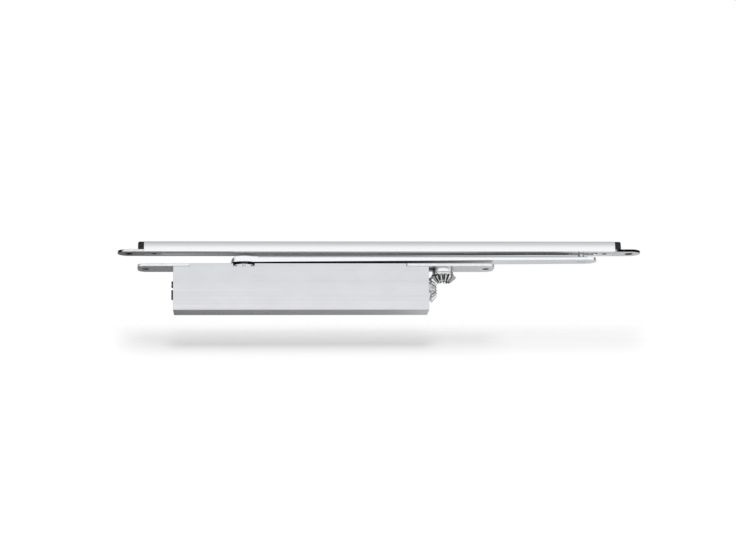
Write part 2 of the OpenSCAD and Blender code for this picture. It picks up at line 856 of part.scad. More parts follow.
module arm_screw() {
    color("dimgray")
        translate([spindle_x, 0, 0])
            difference() {
                union() {
                    translate([0, 0, arm_z1 - arm_screw_head_h])
                        cylinder(h = arm_screw_head_h, d = arm_screw_head_d);
                    translate([0, 0, arm_z1 - arm_screw_head_h - arm_screw_l])
                        cylinder(h = arm_screw_l + eps, d = arm_screw_d);
                }
                hex_socket(arm_screw_af, arm_z1, arm_screw_socket);
            }
}

// Underside of the arm at the slider pin, and the step that its riveted head sits on
arm_slope = (arm_hub_t - arm_tip_t) / (arm_l + arm_tip - arm_hub_d / 2);
pin_z0 = arm_z0 + arm_slope * (arm_l - arm_hub_d / 2);
pin_head_z1 = pin_z0 + pin_head_t;
slider_z1 = ceiling_z - slack;
clip_pocket_z = slider_z1 - 2 * clip_t - slack;
pin_clip_z = clip_pocket_z + 0.5 * slack;
pin_z1 = slider_z1 - 0.5 * slack;

module slider_pin() {
    color("silver")
        translate([pin_x, 0, 0])
            difference() {
                union() {
                    translate([0, 0, pin_z0])
                        cylinder(h = pin_z1 - pin_z0, d = pin_d);
                    translate([0, 0, pin_z0])
                        cylinder(h = pin_head_t, d = pin_head_d);
                }
                // Groove of the retaining ring
                difference() {
                    translate([0, 0, pin_clip_z - fit])
                        cylinder(h = clip_t + 2 * fit, d = 2 * pin_d);
                    cylinder(h = rail_z1, r = pin_d / 2 - clip_grip - fit);
                }
            }
}

module slider_pin_clip() {
    color("dimgray")
        translate([pin_x, 0, 0])
            retaining_ring(pin_clip_z, pin_d / 2 - clip_grip, pin_d / 2 + clip_wall, clip_t);
}

module slider_block() {
    neck_w = slot_w - 2 * slack;
    body_w = cavity_w - 2 * slack;
    color("ivory")
        translate([pin_x, 0, 0])
            difference() {
                union() {
                    translate([0, 0, lip_z + slack])
                        linear_extrude(slider_z1 - lip_z - slack)
                            round_rect(slider_l, body_w, slider_corner_r);
                    translate([0, 0, rail_z0])
                        linear_extrude(rail_wall + 2 * slack)
                            round_rect(slider_l, neck_w, slider_corner_r);
                }
                translate([0, 0, rail_z0 - eps])
                    cylinder(h = rail_h, r = pin_d / 2 + fit);
                translate([0, 0, clip_pocket_z])
                    cylinder(h = rail_h, r = pin_d / 2 + clip_wall + slack);
            }
}

// The two crowned sides, drawn in by an inset. The underside is at height 0.
module crown(inset = 0) {
    centre_y = sqrt(pow(rail_crown_r, 2) - pow(rail_crown_drop, 2)) - rail_w / 2;
    intersection() {
        translate([-centre_y, -rail_crown_drop])
            circle(r = rail_crown_r - inset, $fn = 360);
        translate([centre_y, -rail_crown_drop])
            circle(r = rail_crown_r - inset, $fn = 360);
    }
}

// Outer section of the rail, with round edges along its top
module rail_section() {
    edge_y = rail_w / 2 - rail_top_r;
    edge_h = rail_h - rail_top_r;
    intersection() {
        crown();
        union() {
            translate([-rail_w, 0])
                square([2 * rail_w, edge_h]);
            translate([-edge_y, 0])
                square([2 * edge_y, rail_h]);
            for (s = [-1, 1])
                translate([s * edge_y, edge_h])
                    circle(r = rail_top_r);
        }
    }
}

module rail_outline() {
    difference() {
        translate([0, rail_z0])
            rail_section();
        translate([-cavity_w / 2, lip_z])
            square([cavity_w, ceiling_z - lip_z]);
        translate([-slot_w / 2, rail_z0 - eps])
            square([slot_w, rail_wall + 2 * eps]);
        translate([0, rail_z0])
            slot_bevels();
    }
}

// Wedge that bevels the slot's lower edges. The underside is at height 0.
module slot_bevels() {
    rise = 2 * slot_bevel;
    wide = slot_w / 2 + slot_bevel + eps;
    narrow = slot_w / 2 + slot_bevel - rise;
    polygon([[-wide, -eps], [wide, -eps], [narrow, rise], [-narrow, rise]]);
}

module rail() {
    color("gainsboro")
        translate([rail_x0, 0, 0])
            rotate([90, 0, 90])
                linear_extrude(rail_l)
                    rail_outline();
}

// Draws its children for the left end of the rail, or mirrored for the right end.
// There x = 0 is the rail's end and +x points into the rail.
module at_rail_end(side) {
    if (side < 0)
        translate([rail_x0, 0, 0])
            children();
    else
        translate([rail_x1, 0, 0])
            mirror([1, 0, 0])
                children();
}

foot_w = cavity_w - 2 * slack;
foot_out = 0.5 * cap_l;
cap_wall = 0.2 * rail_wall;

module rail_end(side) {
    color("silver")
        at_rail_end(side)
            difference() {
                union() {
                    // Tab with a round tip
                    translate([-tab_l + tab_w / 2, -tab_w / 2, rail_z0])
                        cube([tab_l - tab_w / 2, tab_w, tab_t]);
                    translate([-tab_l + tab_w / 2, 0, rail_z0])
                        cylinder(h = tab_t, d = tab_w);
                    // Neck in the slot, and the foot that clamps on the lips
                    translate([-eps, -slot_w / 2 + fit, rail_z0])
                        cube([end_insert_l + eps, slot_w - 2 * fit, rail_wall + 2 * fit]);
                    translate([-foot_out, -foot_w / 2, lip_z + fit])
                        cube([end_insert_l + foot_out, foot_w, foot_z1 - lip_z - fit]);
                }
                translate([-frame_hole_inset, 0, rail_z0 - eps])
                    cylinder(h = tab_t + 2 * eps, d = frame_hole_d);
                translate([clamp_screw_inset, 0, rail_z0 - eps])
                    cylinder(h = rail_h, r = clamp_screw_d / 2 + fit);
            }
}

module rail_end_left() {
    rail_end(-1);
}

module rail_end_right() {
    rail_end(1);
}

// Side view of an end cap past the rail, with a round outer top corner
module cap_side(z0, z1) {
    translate([-cap_l, z0])
        square([cap_l, z1 - cap_corner_r - z0]);
    translate([-cap_l + cap_corner_r, z0])
        square([cap_l - cap_corner_r, z1 - z0]);
    translate([-cap_l + cap_corner_r, z1 - cap_corner_r])
        circle(r = cap_corner_r, $fn = 64);
}

module end_cap(side) {
    cap_z0 = rail_z0 + tab_t;
    cap_z1 = rail_z1 - cap_wall;
    color("#222222")
        at_rail_end(side)
            difference() {
                union() {
                    intersection() {
                        translate([0, tab_w, 0])
                            rotate([90, 0, 0])
                                linear_extrude(2 * tab_w)
                                    cap_side(cap_z0, cap_z1);
                        translate([-cap_l - eps, 0, rail_z0])
                            rotate([90, 0, 90])
                                linear_extrude(cap_l + 2 * eps)
                                    crown((rail_w - tab_w) / 2);
                    }
                    translate([-eps, -foot_w / 2, foot_z1 + slack])
                        cube([cap_plug_l + eps, foot_w, ceiling_z - slack - foot_z1 - slack]);
                }
                // Room for the foot of the end piece
                translate([-foot_out - slack, -foot_w / 2 - slack, cap_z0 - eps])
                    cube([foot_out + 2 * slack, foot_w + 2 * slack, foot_z1 - cap_z0 + slack + eps]);
            }
}

module end_cap_left() {
    end_cap(-1);
}

module end_cap_right() {
    end_cap(1);
}

module clamp_screws() {
    z0 = rail_z0 + slack;
    color("#333333")
        for (side = [-1, 1])
            at_rail_end(side)
                translate([clamp_screw_inset, 0, 0])
                    difference() {
                        translate([0, 0, z0])
                            cylinder(h = ceiling_z - fit - z0, d = clamp_screw_d);
                        translate([0, 0, z0 - eps])
                            cylinder(h = clamp_socket + eps, d = clamp_socket, $fn = 6);
                    }
}

// Window of the piston: room for the pinion, with the rack's gaps along its -Y side
module window_outline() {
    half_gap = rack_pitch / 4 + flank_gap;
    tip_half = half_gap + (pinion_r - rack_tip_y) * tan(pressure_angle);
    root_half = half_gap - (rack_root_y - pinion_r) * tan(pressure_angle);
    first = ceil((window_x0 - spindle_x + tip_half) / rack_pitch);
    last = floor((window_x1 - spindle_x - tip_half) / rack_pitch);
    translate([window_x0, -rack_tip_y])
        square([window_x1 - window_x0, rack_tip_y + pinion_tip_r + 2 * slack]);
    for (k = [first : last])
        translate([spindle_x + k * rack_pitch, 0])
            polygon([
                [-tip_half, -rack_tip_y + eps],
                [-tip_half, -rack_tip_y],
                [-root_half, -rack_root_y],
                [root_half, -rack_root_y],
                [tip_half, -rack_tip_y],
                [tip_half, -rack_tip_y + eps]
            ]);
}

valve_seat_d = 7;
valve_seat_l = 0.6 * head_l;

module rack_piston() {
    color("darkgray")
        difference() {
            union() {
                rod(piston_x0, piston_x1, piston_r);
                rod(piston_x1 - eps, piston_x1 + spigot_l, spigot_d / 2);
            }
            translate([0, 0, bore_bottom - eps])
                linear_extrude(bore_d + 2 * eps)
                    window_outline();
            seal_groove(piston_seal_x);
            // Oil passage with the seat of the check valve
            rod(piston_x1 - head_l - eps, piston_x1 + spigot_l + eps, valve_seat_d / 4);
            rod(piston_x1 + spigot_l - valve_seat_l, piston_x1 + spigot_l + eps, valve_seat_d / 2 + fit);
        }
}

module piston_seal() {
    bore_seal(piston_seal_x);
}

module check_valve() {
    color("goldenrod")
        difference() {
            rod(piston_x1 + spigot_l - valve_seat_l + fit, piston_x1 + spigot_l, valve_seat_d / 2);
            rod(piston_x1 - eps, piston_x1 + spigot_l + eps, valve_seat_d / 6);
        }
}

module spring_seat() {
    color("darkgray")
        difference() {
            union() {
                rod(seat_x0, seat_x1, bore_r - slack);
                rod(seat_x0 - spigot_l, seat_x0 + eps, spigot_d / 2);
                block(
                    [seat_x0, -keyway_w / 2 + slack, bore_bottom - keyway_depth + slack],
                    [seat_x1, keyway_w / 2 - slack, bore_z - thread_d / 2 - slack]
                );
            }
            rod(seat_x0 - spigot_l - eps, seat_x1 + eps, thread_d / 2 + fit);
        }
}

// One tooth of a bevel gear, its apex at the origin and its axis along +Z
module bevel_tooth() {
    s = PI * gear_module / 4 - flank_gap;
    back_r = gear_r / cos(cone);
    depths = [-gear_dedendum - gear_tooth_sink, -gear_dedendum / 2, 0, gear_addendum];
    half = [for (h = depths) tooth_half(back_r + h, back_r, s)];
    profile = concat(
        [for (i = [0 : 3]) [depths[i], -half[i]]],
        [for (i = [3 : -1 : 0]) [depths[i], half[i]]]
    );
    points = [
        for (k = [1, gear_small], p = profile)
            k * [gear_r + p[0] * cos(cone), p[1], gear_r - p[0] * sin(cone)]
    ];
    n = len(profile);
    flanks = [for (i = [0 : n - 1]) [i, (i + 1) % n, n + (i + 1) % n, n + i]];
    large_end = [for (i = [n - 1 : -1 : 0]) i];
    small_end = [for (i = [0 : n - 1]) n + i];
    polyhedron(points = points, faces = concat(flanks, [large_end, small_end]));
}

module bevel_teeth(turn) {
    for (k = [0 : gear_teeth - 1])
        rotate(turn + k * 360 / gear_teeth)
            bevel_tooth();
}

// Section of the gear's blank: the root cone and the rim behind the teeth
module bevel_blank() {
    rim_r = gear_root_r + gear_tooth_sink / 2;
    root_slope = gear_root_r / gear_root_h;
    rotate_extrude()
        polygon([
            [0, gear_front_h],
            [gear_front_h * root_slope, gear_front_h],
            [rim_r, rim_r / root_slope],
            [rim_r, gear_back_h],
            [0, gear_back_h]
        ]);
}

module adjuster_gear() {
    hub_z0 = gear_back_z;
    hub_z1 = -fit;
    groove_z = hub_z0 + gear_groove_up;
    stem_z1 = top_z - fit;
    color("silver")
        translate([bevel_x, 0, 0])
            difference() {
                union() {
                    translate([0, 0, bore_z]) {
                        bevel_teeth(180 + 180 / gear_teeth);
                        bevel_blank();
                    }
                    translate([0, 0, hub_z0 - gear_rim_t])
                        cylinder(h = hub_z1 - hub_z0 + gear_rim_t, d = gear_hub_d);
                    translate([0, 0, hub_z1 - eps])
                        cylinder(h = stem_z1 - hub_z1 + eps, d = stem_d);
                }
                // Groove round the hub
                difference() {
                    translate([0, 0, groove_z - gear_groove_h / 2])
                        cylinder(h = gear_groove_h, d = gear_hub_d + 2 * eps);
                    translate([0, 0, groove_z - gear_groove_h])
                        cylinder(h = 2 * gear_groove_h, d = gear_hub_d - 2 * gear_groove_depth);
                }
                // Groove of the retaining ring
                difference() {
                    translate([0, 0, stem_clip_z - fit / 2])
                        cylinder(h = clip_t + fit, d = 2 * stem_d);
                    cylinder(h = 2 * top_z, r = stem_d / 2 - clip_grip - fit);
                }
                hex_socket(socket_af, stem_z1, socket_depth);
            }
}

module adjuster_circlip() {
    color("dimgray")
        translate([bevel_x, 0, 0])
            retaining_ring(stem_clip_z, stem_d / 2 - clip_grip, stem_d / 2 + clip_wall, clip_t);
}

// Places a shape that is drawn about +Z from the gears' apex, along the adjusting screw
module along_adjuster() {
    translate([bevel_x, 0, bore_z])
        rotate([0, -90, 0])
            children();
}

// Round seat with two flats
module flatted(d, af) {
    intersection() {
        circle(d = d);
        square([2 * d, af], center = true);
    }
}

drive_clip_h = gear_front_h - clip_t - fit;
adjuster_end_h = drive_clip_h - clip_t;

module drive_gear() {
    color("silver")
        along_adjuster()
            difference() {
                union() {
                    bevel_teeth(0);
                    bevel_blank();
                }
                translate([0, 0, gear_front_h - eps])
                    linear_extrude(gear_back_h - gear_front_h + 2 * eps)
                        flatted(gear_seat_d + 2 * fit, gear_seat_af + 2 * fit);
            }
}

module adjusting_screw() {
    color("silver")
        along_adjuster()
            difference() {
                union() {
                    translate([0, 0, adjuster_end_h])
                        linear_extrude(gear_back_h - adjuster_end_h + eps)
                            flatted(gear_seat_d, gear_seat_af);
                    translate([0, 0, gear_back_h + fit])
                        cylinder(h = bevel_x - collar_x1 - gear_back_h + eps, d = adjuster_journal_d);
                    translate([0, 0, bevel_x - collar_x1 + fit])
                        cylinder(h = collar_t - fit, d = collar_d);
                    translate([0, 0, bevel_x - collar_x0 - eps])
                        cylinder(h = thread_l + eps, d = thread_d);
                }
                difference() {
                    translate([0, 0, drive_clip_h - fit / 2])
                        cylinder(h = clip_t + fit, d = 2 * gear_seat_d);
                    cylinder(h = gear_back_h, r = gear_seat_af / 2 - clip_grip - fit);
                }
            }
}

module drive_circlip() {
    color("dimgray")
        along_adjuster()
            retaining_ring(drive_clip_h, gear_seat_af / 2 - clip_grip, gear_seat_d / 2 + clip_wall, clip_t);
}

housing();
left_ear();
right_ear();
ear_screws();
spindle_gland();
spindle_seal();
upper_bearing();
lower_bearing();
left_end_plug();
left_plug_seal();
valve_seals();
right_end_plug();
right_plug_seal();
adjuster_seal();
thrust_washer();
closing_spring();
arm();
spindle();
arm_screw();
slider_pin();
slider_pin_clip();
slider_block();
rail();
rail_end_left();
rail_end_right();
end_cap_left();
end_cap_right();
clamp_screws();
rack_piston();
piston_seal();
check_valve();
spring_seat();
adjuster_gear();
adjuster_circlip();
adjusting_screw();
drive_gear();
drive_circlip();
closing_speed_valve();
latch_speed_valve();
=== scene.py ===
"""Looks of the concealed door closer: finishes, rounded edges, studio and camera.

Lengths are in metres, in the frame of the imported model: +X runs from the spindle's end to the
slider's end, +Y points away from the viewer and +Z is up. The origin lies between the two leaf screws.
"""
import json
import math

import bpy
from mathutils import Matrix, Vector


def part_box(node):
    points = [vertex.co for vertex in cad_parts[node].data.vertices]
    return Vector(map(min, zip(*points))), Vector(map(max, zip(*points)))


MM = 0.001

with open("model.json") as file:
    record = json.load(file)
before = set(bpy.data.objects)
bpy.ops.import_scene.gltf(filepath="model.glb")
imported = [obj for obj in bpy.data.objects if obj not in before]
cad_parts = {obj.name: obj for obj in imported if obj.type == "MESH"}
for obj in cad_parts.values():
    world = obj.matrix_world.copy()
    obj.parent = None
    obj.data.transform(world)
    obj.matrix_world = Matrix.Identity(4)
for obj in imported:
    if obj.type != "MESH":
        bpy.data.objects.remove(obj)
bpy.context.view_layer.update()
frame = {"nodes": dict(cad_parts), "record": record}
nodes = frame["nodes"]


# Node helpers

def add(tree, kind, inputs=None, **settings):
    """Adds a shader node. Inputs take plain values or other nodes' sockets."""
    node = tree.nodes.new(kind)
    for key, value in settings.items():
        setattr(node, key, value)
    for key, value in (inputs or {}).items():
        if isinstance(value, bpy.types.NodeSocket):
            tree.links.new(value, node.inputs[key])
        else:
            node.inputs[key].default_value = value
    return node


def combine(tree, operation, *values):
    """Several numbers joined by one operation, such as their sum or product."""
    result = values[0]
    for value in values[1:]:
        inputs = {0: result, 1: value}
        result = add(tree, "ShaderNodeMath", inputs, operation=operation).outputs["Value"]
    return result


def magnitude(tree, value):
    """A number without its sign."""
    return add(tree, "ShaderNodeMath", {0: value}, operation="ABSOLUTE").outputs["Value"]


# Where most of a noise lies
NOISE_LOW = 0.3
NOISE_HIGH = 0.7


def span(tree, value, low, high, start=NOISE_LOW, end=NOISE_HIGH):
    """Maps a value from start..end to low..high."""
    inputs = {"Value": value, "From Min": start, "From Max": end, "To Min": low, "To Max": high}
    return add(tree, "ShaderNodeMapRange", inputs).outputs["Result"]


def rise(tree, value, stretch, top=1.0):
    """0 before a stretch of values and top after it."""
    return span(tree, value, 0.0, top, *stretch)


def fall(tree, value, stretch, bottom=0.0):
    """1 before a stretch of values and bottom after it."""
    return span(tree, value, 1.0, bottom, *stretch)


def blend_levels(tree, factor, first, second):
    """A number between two others."""
    inputs = {"Factor": factor, "A": first, "B": second}
    return add(tree, "ShaderNodeMix", inputs, data_type="FLOAT").outputs["Result"]


# Sockets of a Mix node that take and give colours
MIX_FIRST = 6
MIX_SECOND = 7
MIX_RESULT = 2


def between(tree, factor, first, second):
    """A colour between two others, each a triple or a socket."""
    node = add(tree, "ShaderNodeMix", {"Factor": factor}, data_type="RGBA")
    for index, colour in ((MIX_FIRST, first), (MIX_SECOND, second)):
        if isinstance(colour, bpy.types.NodeSocket):
            tree.links.new(colour, node.inputs[index])
        else:
            node.inputs[index].default_value = (*colour, 1.0)
    return node.outputs[MIX_RESULT]


def axes(tree, vector):
    """The X, Y and Z of a vector."""
    return add(tree, "ShaderNodeSeparateXYZ", {"Vector": vector}).outputs


def own_place(tree):
    """Where a point lies in its piece's own frame, as a vector."""
    return add(tree, "ShaderNodeTexCoord").outputs["Object"]


def place_on(tree):
    """Where a point lies in its piece's own frame, by axis."""
    return axes(tree, own_place(tree))


def faces(tree):
    """Which way a surface faces in its piece's own frame, by axis from -1 to 1."""
    return axes(tree, add(tree, "ShaderNodeTexCoord").outputs["Normal"])


def grain(tree, waves, detail=4.0, roughness=0.6):
    """Noise with its own number of waves per metre along X, Y and Z."""
    scaled = add(tree, "ShaderNodeMapping", {"Vector": own_place(tree), "Scale": waves}).outputs["Vector"]
    inputs = {"Vector": scaled, "Scale": 1.0, "Detail": detail, "Roughness": roughness}
    return add(tree, "ShaderNodeTexNoise", inputs).outputs["Fac"]


def even_grain(tree, waves, detail=6.0, roughness=0.6):
    """Noise with the same number of waves per metre every way."""
    return grain(tree, (waves, waves, waves), detail, roughness)


def spangle(tree, cells):
    """Crystal patches, with their number per metre."""
    inputs = {"Vector": own_place(tree), "Scale": cells, "Randomness": 1.0}
    colour = add(tree, "ShaderNodeTexVoronoi", inputs).outputs["Color"]
    return add(tree, "ShaderNodeSeparateColor", {"Color": colour}).outputs["Red"]


GAP_SAMPLES = 8


def openness(tree, reach, start, end, own=True):
    """0 deep in gaps and holes, 1 on open faces. Own leaves the other pieces out of account."""
    settings = {"samples": GAP_SAMPLES, "only_local": own}
    gap = add(tree, "ShaderNodeAmbientOcclusion", {"Distance": reach}, **settings).outputs["AO"]
    return rise(tree, gap, (start, end))


EDGE_SAMPLES = 6
# How alike the rounded and the true direction of a face are, from where it is all worn to where it isn't
EDGE_WEAR = (0.86, 0.995)


def worn_edge(tree, radius):
    """1 along sharp edges, 0 on the faces between them."""
    soft = add(tree, "ShaderNodeBevel", {"Radius": radius}, samples=EDGE_SAMPLES).outputs["Normal"]
    true = add(tree, "ShaderNodeNewGeometry").outputs["Normal"]
    alike = add(tree, "ShaderNodeVectorMath", {0: soft, 1: true}, operation="DOT_PRODUCT").outputs["Value"]
    return fall(tree, alike, EDGE_WEAR)


# Black that paints shade into gaps, holes and close corners
PAINTED_SHADE = (0.006, 0.006, 0.006)


def finish(name, metallic, colour, roughness, relief, gaps=(), oxide=None, **constants):
    """A material from three functions that take its node tree: colour, roughness and relief.

    Relief returns a height socket and the depth in metres that it stands for. Gaps lists functions of
    the tree that give 0 where shade is painted, so that the metal is matt and black there, and 1 where
    it is bare. Oxide is one that gives 1 where a pale coat hides the metal.
    """
    material = bpy.data.materials.new(name)
    material.use_nodes = True
    tree = material.node_tree
    shader = tree.nodes["Principled BSDF"].inputs
    shader["Metallic"].default_value = metallic
    for socket, value in constants.items():
        shader[socket.replace("_", " ")].default_value = value
    surface = colour(tree)
    if oxide:
        bare = combine(tree, "SUBTRACT", metallic, oxide(tree))
        tree.links.new(bare, shader["Metallic"])
    # Painted shade: where the gaps give 0, the surface turns black and matt
    if gaps:
        unshaded = combine(tree, "MULTIPLY", *[gap(tree) for gap in gaps])
        surface = between(tree, unshaded, PAINTED_SHADE, surface)
        tree.links.new(unshaded, shader["Metallic"])
        shader["Specular IOR Level"].default_value = 0.0
    tree.links.new(surface, shader["Base Color"])
    tree.links.new(roughness(tree), shader["Roughness"])
    height, depth = relief(tree)
    bump = add(tree, "ShaderNodeBump", {"Height": height, "Distance": depth, "Strength": 1.0})
    tree.links.new(bump.outputs["Normal"], shader["Normal"])
    return material


# Brushed metal

BRUSH_WAVES = (45.0, 2200.0, 2200.0)
STREAK_WAVES = (2.0, 480.0, 480.0)
CLOUD_WAVES = (24.0, 24.0, 40.0)
HAZE_WAVES = 30.0
# How much of the way from dark to light comes from lines, streaks, clouds and the painted light that
# brightens the foot
LINE_SHARE = 0.2
STREAK_SHARE = 0.25
CLOUD_SHARE = 0.25
PAINTED_LIGHT_SHARE = 0.3
# From the body's foot to the underside of its ears
BODY_HEIGHT = (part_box("housing")[0].z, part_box("left_ear")[0].z)
HAZE_ROUGHNESS = 0.03
BRUSH_DEPTH = 0.005 * MM
BRUSHED_EDGE = 0.3 * MM


def brushed_metal(name, dark, light, smooth, rough):
    """Metal with lines and streaks along X, soft clouds, painted light that makes its foot lighter, and
    slightly worn edges.
    """
    def colour(tree):
        tone = combine(
            tree, "ADD",
            span(tree, grain(tree, BRUSH_WAVES), 0.0, LINE_SHARE),
            span(tree, grain(tree, STREAK_WAVES, detail=3.0), 0.0, STREAK_SHARE),
            span(tree, grain(tree, CLOUD_WAVES, detail=2.0), 0.0, CLOUD_SHARE),
            # Painted light: lighter towards the body's foot
            span(tree, place_on(tree)["Z"], PAINTED_LIGHT_SHARE, 0.0, *BODY_HEIGHT))
        surface = between(tree, tone, dark, light)
        return between(tree, worn_edge(tree, BRUSHED_EDGE), surface, light)

    def roughness(tree):
        lines = span(tree, grain(tree, BRUSH_WAVES, detail=6.0), smooth, rough)
        haze = span(tree, even_grain(tree, HAZE_WAVES), -HAZE_ROUGHNESS, HAZE_ROUGHNESS)
        return combine(tree, "ADD", lines, haze)

    def relief(tree):
        return grain(tree, BRUSH_WAVES, detail=6.0), BRUSH_DEPTH

    return finish(name, 1.0, colour, roughness, relief)


# Rail

DRAW_WAVES = (4.0, 1500.0, 1500.0)
DRAW_DEPTH = 0.003 * MM
# Near-black that paints the shade under the rail's lips
LIP_SHADE = (0.03, 0.03, 0.031)
# How far down a face points, from all covered with the painted shade to bare
LIP_SHADE_FACES = (-0.90, -0.72)
# Stretches along X where the painted shade on the front and on the rear lip grows and fades
FRONT_SHADE_GROWS = (0.05, 0.19)
FRONT_SHADE_FADES = (0.25, 0.275)
REAR_SHADE_GROWS = (-0.15, -0.04)
REAR_SHADE_FADES = (0.165, 0.225)
REAR_SHADE = 0.65
# Stretch along Y between the two lips
LIP_CHANGE = (-1.0 * MM, 1.0 * MM)


def painted_lip_shade(tree):
    """Painted shade under the rail: on its front lip before the slider, and on its rear lip over the body.
    """
    place = place_on(tree)
    below = fall(tree, faces(tree)["Z"], LIP_SHADE_FACES)
    front = combine(
        tree, "MULTIPLY",
        rise(tree, place["X"], FRONT_SHADE_GROWS),
        fall(tree, place["X"], FRONT_SHADE_FADES))
    rear = combine(
        tree, "MULTIPLY",
        rise(tree, place["X"], REAR_SHADE_GROWS, REAR_SHADE),
        fall(tree, place["X"], REAR_SHADE_FADES))
    behind = rise(tree, place["Y"], LIP_CHANGE)
    return combine(tree, "MULTIPLY", below, blend_levels(tree, behind, front, rear))


RAIL_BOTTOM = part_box("rail")[0].z
# Where the coat of oxide in the slot ends: sideways, upwards, on faces that point down, and along X
OXIDE_SIDES = (7.5 * MM, 8.0 * MM)
OXIDE_TOP = (RAIL_BOTTOM + 2.2 * MM, RAIL_BOTTOM + 2.6 * MM)
OXIDE_FACES = (-0.95, -0.80)
OXIDE_FADES = (0.06, 0.19)


def slot_edges(tree):
    """1 on the walls and bevels of the rail's slot over the body, which are pale with oxide."""
    place = place_on(tree)
    return combine(
        tree, "MULTIPLY",
        fall(tree, magnitude(tree, place["Y"]), OXIDE_SIDES),
        rise(tree, faces(tree)["Z"], OXIDE_FACES),
        fall(tree, place["Z"], OXIDE_TOP),
        fall(tree, place["X"], OXIDE_FADES))


# Reach of the channel's shade, and how open a face is from all inside to all outside
CHANNEL = (12.0 * MM, 0.6, 0.95)
CHANNEL_ROUGHNESS = 0.5


def drawn_rail(name, dark, light, smooth, rough):
    """Extruded metal, polished outside and left matt inside its channel, with painted shade under its
    lips.
    """
    def colour(tree):
        lines = between(tree, span(tree, grain(tree, DRAW_WAVES), 0.0, 1.0), dark, light)
        # Painted shade on the undersides of the lips
        return between(tree, painted_lip_shade(tree), lines, LIP_SHADE)

    def roughness(tree):
        polish = span(tree, grain(tree, DRAW_WAVES, detail=6.0), smooth, rough)
        inside = span(tree, openness(tree, *CHANNEL), CHANNEL_ROUGHNESS, 0.0, start=0.0, end=1.0)
        return combine(tree, "ADD", polish, inside)

    def relief(tree):
        return grain(tree, DRAW_WAVES, detail=6.0), DRAW_DEPTH

    return finish(name, 1.0, colour, roughness, relief, oxide=slot_edges)


# Arm

# Reach of the painted shade over the body, and how open the gap is from all black to bare
ARM_SHADE_GAP = (12.0 * MM, 0.18, 0.46)
# Stretch along X where the painted shade fades, and how bare of it the arm is after it
ARM_SHADE_FADES = (0.085, 0.175)
ARM_UNSHADED_AFTER = 0.6


def painted_gap_shade(tree):
    """Painted shade: 0 where the arm runs close over the body, 1 where it is bare."""
    gap = openness(tree, *ARM_SHADE_GAP, own=False)
    faded = rise(tree, place_on(tree)["X"], ARM_SHADE_FADES, ARM_UNSHADED_AFTER)
    return combine(tree, "MAXIMUM", gap, faded)


def plated_arm(name, dark, light, smooth, rough):
    """Drawn and plated flat steel, with painted shade where it runs close over the body."""
    def colour(tree):
        return between(tree, span(tree, grain(tree, DRAW_WAVES), 0.0, 1.0), dark, light)

    def roughness(tree):
        return span(tree, grain(tree, DRAW_WAVES, detail=6.0), smooth, rough)

    def relief(tree):
        return grain(tree, DRAW_WAVES, detail=6.0), DRAW_DEPTH

    return finish(name, 1.0, colour, roughness, relief, [painted_gap_shade])


# Zinc

# Reach of each kind of gap with painted shade, and how open it is from all black to bare
HOLES = (12.0 * MM, 0.84, 0.99)
CORNERS = (10.0 * MM, 0.30, 0.60)
SLITS = (6.0 * MM, 0.25, 0.60)


def holes(tree):
    """Painted shade: 0 in a piece's own holes."""
    return openness(tree, *HOLES)


def corners(tree):
    """Painted shade: 0 where other pieces stand close."""
    return openness(tree, *CORNERS, own=False)


def slits(tree):
    """Painted shade: 0 in narrow slots."""
    return openness(tree, *SLITS)


# Widths of the rings of painted shade round the screw holes
EAR_RING = 0.95 * MM
TAB_RING = 1.65 * MM
RING_BLUR = 0.4 * MM


def hole_rings(mount, width):
    """0 in a dark ring of painted shade round each of a mount's two screw holes."""
    row = next(row for row in frame["record"]["mounts"] if row["name"] == mount)
    middle = row["pos_m"][0]
    half = row["dims"]["spacing_x_mm"] * MM / 2
    edge = row["dims"]["hole_r_mm"] * MM + width

    def rings(tree):
        place = place_on(tree)
        flat = add(tree, "ShaderNodeCombineXYZ", {"X": place["X"], "Y": place["Y"]}).outputs["Vector"]
        unshaded = []
        for x in (middle - half, middle + half):
            inputs = {0: flat, 1: (x, 0.0, 0.0)}
            away = add(tree, "ShaderNodeVectorMath", inputs, operation="DISTANCE").outputs["Value"]
            unshaded.append(rise(tree, away, (edge - RING_BLUR, edge + RING_BLUR)))
        return combine(tree, "MULTIPLY", *unshaded)

    return rings


# How far to the front a face points, from all black with painted shade to bare
TIP_SHADE_FACES = (-0.5, -0.2)
LEFT_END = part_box("rail_end_left")[0].x
RIGHT_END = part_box("rail_end_right")[1].x
# Stretches along X where the painted shade of each tip ends
LEFT_TIP_SHADE = (LEFT_END + 4.0 * MM, LEFT_END + 8.0 * MM)
RIGHT_TIP_SHADE = (RIGHT_END - 29.0 * MM, RIGHT_END - 25.0 * MM)


def tab_tip_shade(tree):
    """0 on the front edges of the tabs' outer ends, where shade is painted black."""
    x = place_on(tree)["X"]
    not_front = rise(tree, faces(tree)["Y"], TIP_SHADE_FACES)
    inner = combine(tree, "MULTIPLY", rise(tree, x, LEFT_TIP_SHADE), fall(tree, x, RIGHT_TIP_SHADE))
    return combine(tree, "MAXIMUM", not_front, inner)


ZINC_WAVES = 900.0
ZINC_RELIEF_WAVES = 700.0


def zinc_metal(name, dark, light, smooth, rough, cells, depth, gaps):
    """Zinc plated metal: crystal patches, a fine grain, and painted shade in its holes and gaps."""
    def colour(tree):
        return between(tree, spangle(tree, cells), dark, light)

    def roughness(tree):
        return span(tree, even_grain(tree, ZINC_WAVES, detail=8.0), smooth, rough)

    def relief(tree):
        return even_grain(tree, ZINC_RELIEF_WAVES, detail=8.0, roughness=0.7), depth

    return finish(name, 1.0, colour, roughness, relief, gaps)


# Machined metal

MOTTLE_WAVES = 400.0
TURNED_WAVES = (250.0, 250.0, 2500.0)
TURNED_RELIEF_WAVES = (300.0, 300.0, 3000.0)
TURNED_DEPTH = 0.008 * MM
TOOTH_REACH = 3.0 * MM
